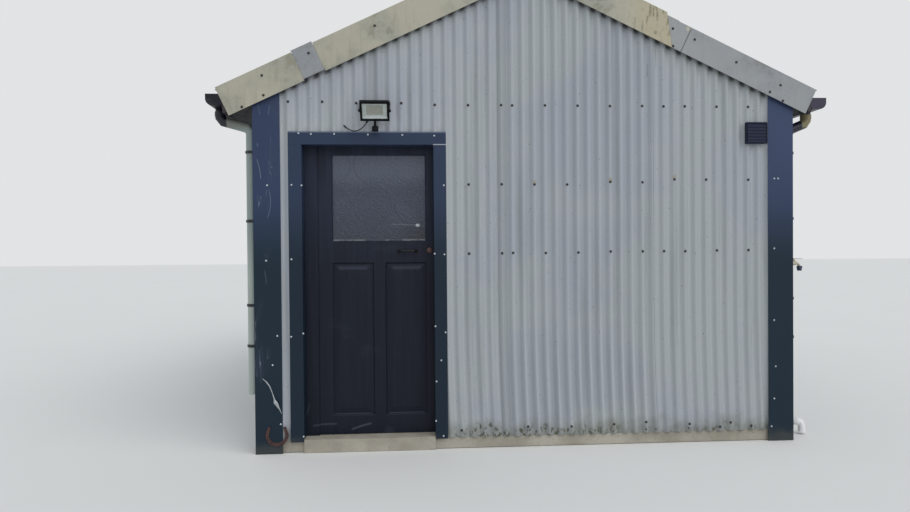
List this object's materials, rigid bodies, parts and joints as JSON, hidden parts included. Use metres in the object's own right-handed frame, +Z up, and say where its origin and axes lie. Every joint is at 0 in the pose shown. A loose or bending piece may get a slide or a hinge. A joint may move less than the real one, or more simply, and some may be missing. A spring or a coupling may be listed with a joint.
{
  "type": "shepherds hut",
  "caption": "Gabled one-room hut clad in corrugated steel, with a part-glazed panelled door that opens inwards, eaves gutters, downpipes and a floodlight over the door.",
  "frame": {"origin": "centre of the hut's footprint, on the ground it stands on", "axes": "+Z up; -Y is the way the front gable with the door faces; +X is the right of somebody who looks at the door from outside"},
  "size_m": [4.3, 5.066, 3.4692],
  "materials": {
    "cladding_grey": "satin, corrugated steel, weathered",
    "roof_steel": "satin, corrugated steel",
    "flashing_blue": "satin, scratched",
    "barge_cream": "satin, stained at the joints",
    "barge_grey": "satin, lightly rusted at the edges",
    "concrete": "matt, rough",
    "timber": "sawn timber and board",
    "fascia": "weathered",
    "joinery_dark": "satin paint",
    "door_glass": "obscure glass",
    "black_steel": "satin",
    "gutter_dark": "faded gloss",
    "pipe_grey": "weathered",
    "lamp_glass": "clear glass",
    "black_plastic": "fine grain",
    "flex_black": "matt",
    "tap_metal": "dull"
  },
  "bodies": {
    "hut": {"front_cladding": "cladding_grey", "back_cladding": "cladding_grey", "side_cladding": "cladding_grey", "roof_sheets": "roof_steel", "corner_flashings_front": "flashing_blue", "corner_flashings_back": "flashing_blue", "door_trim": "flashing_blue", "barge_cream": "barge_cream", "barge_back": "barge_cream", "barge_grey": "barge_grey", "ridge_cap": "barge_grey", "floor_slab": "concrete", "door_sill": "concrete", "front_wall_left": "timber", "front_wall_over_door": "timber", "front_wall_right": "timber", "back_wall": "timber", "side_walls": "timber", "roof_deck_left": "timber", "roof_deck_right": "timber", "reveal_packers": "timber", "fascia_boards": "fascia", "door_frame": "joinery_dark", "hinges_frame_half": "black_steel", "floodlight_housing": "black_steel", "floodlight_bracket": "black_steel", "horseshoe": "black_steel", "latch_keep": "black_steel", "gutters": "gutter_dark", "drain_pipes": "pipe_grey", "floodlight_glass": "lamp_glass", "flex_glands": "black_plastic", "wall_vent": "black_plastic", "tap_nozzle": "black_plastic", "floodlight_flex": "flex_black", "outside_tap": "tap_metal"},
    "door": {"door_leaf": "joinery_dark", "door_panels": "joinery_dark", "door_glass": "door_glass", "door_furniture": "black_steel"}
  },
  "joints": [
    {"name": "door_hinge", "type": "hinge", "parent": "hut", "child": "door", "pos_m": [-1.4775, -2.28, 1.1365], "axis": [0, 0, 1], "range_deg": [0, 95]}
  ]
}
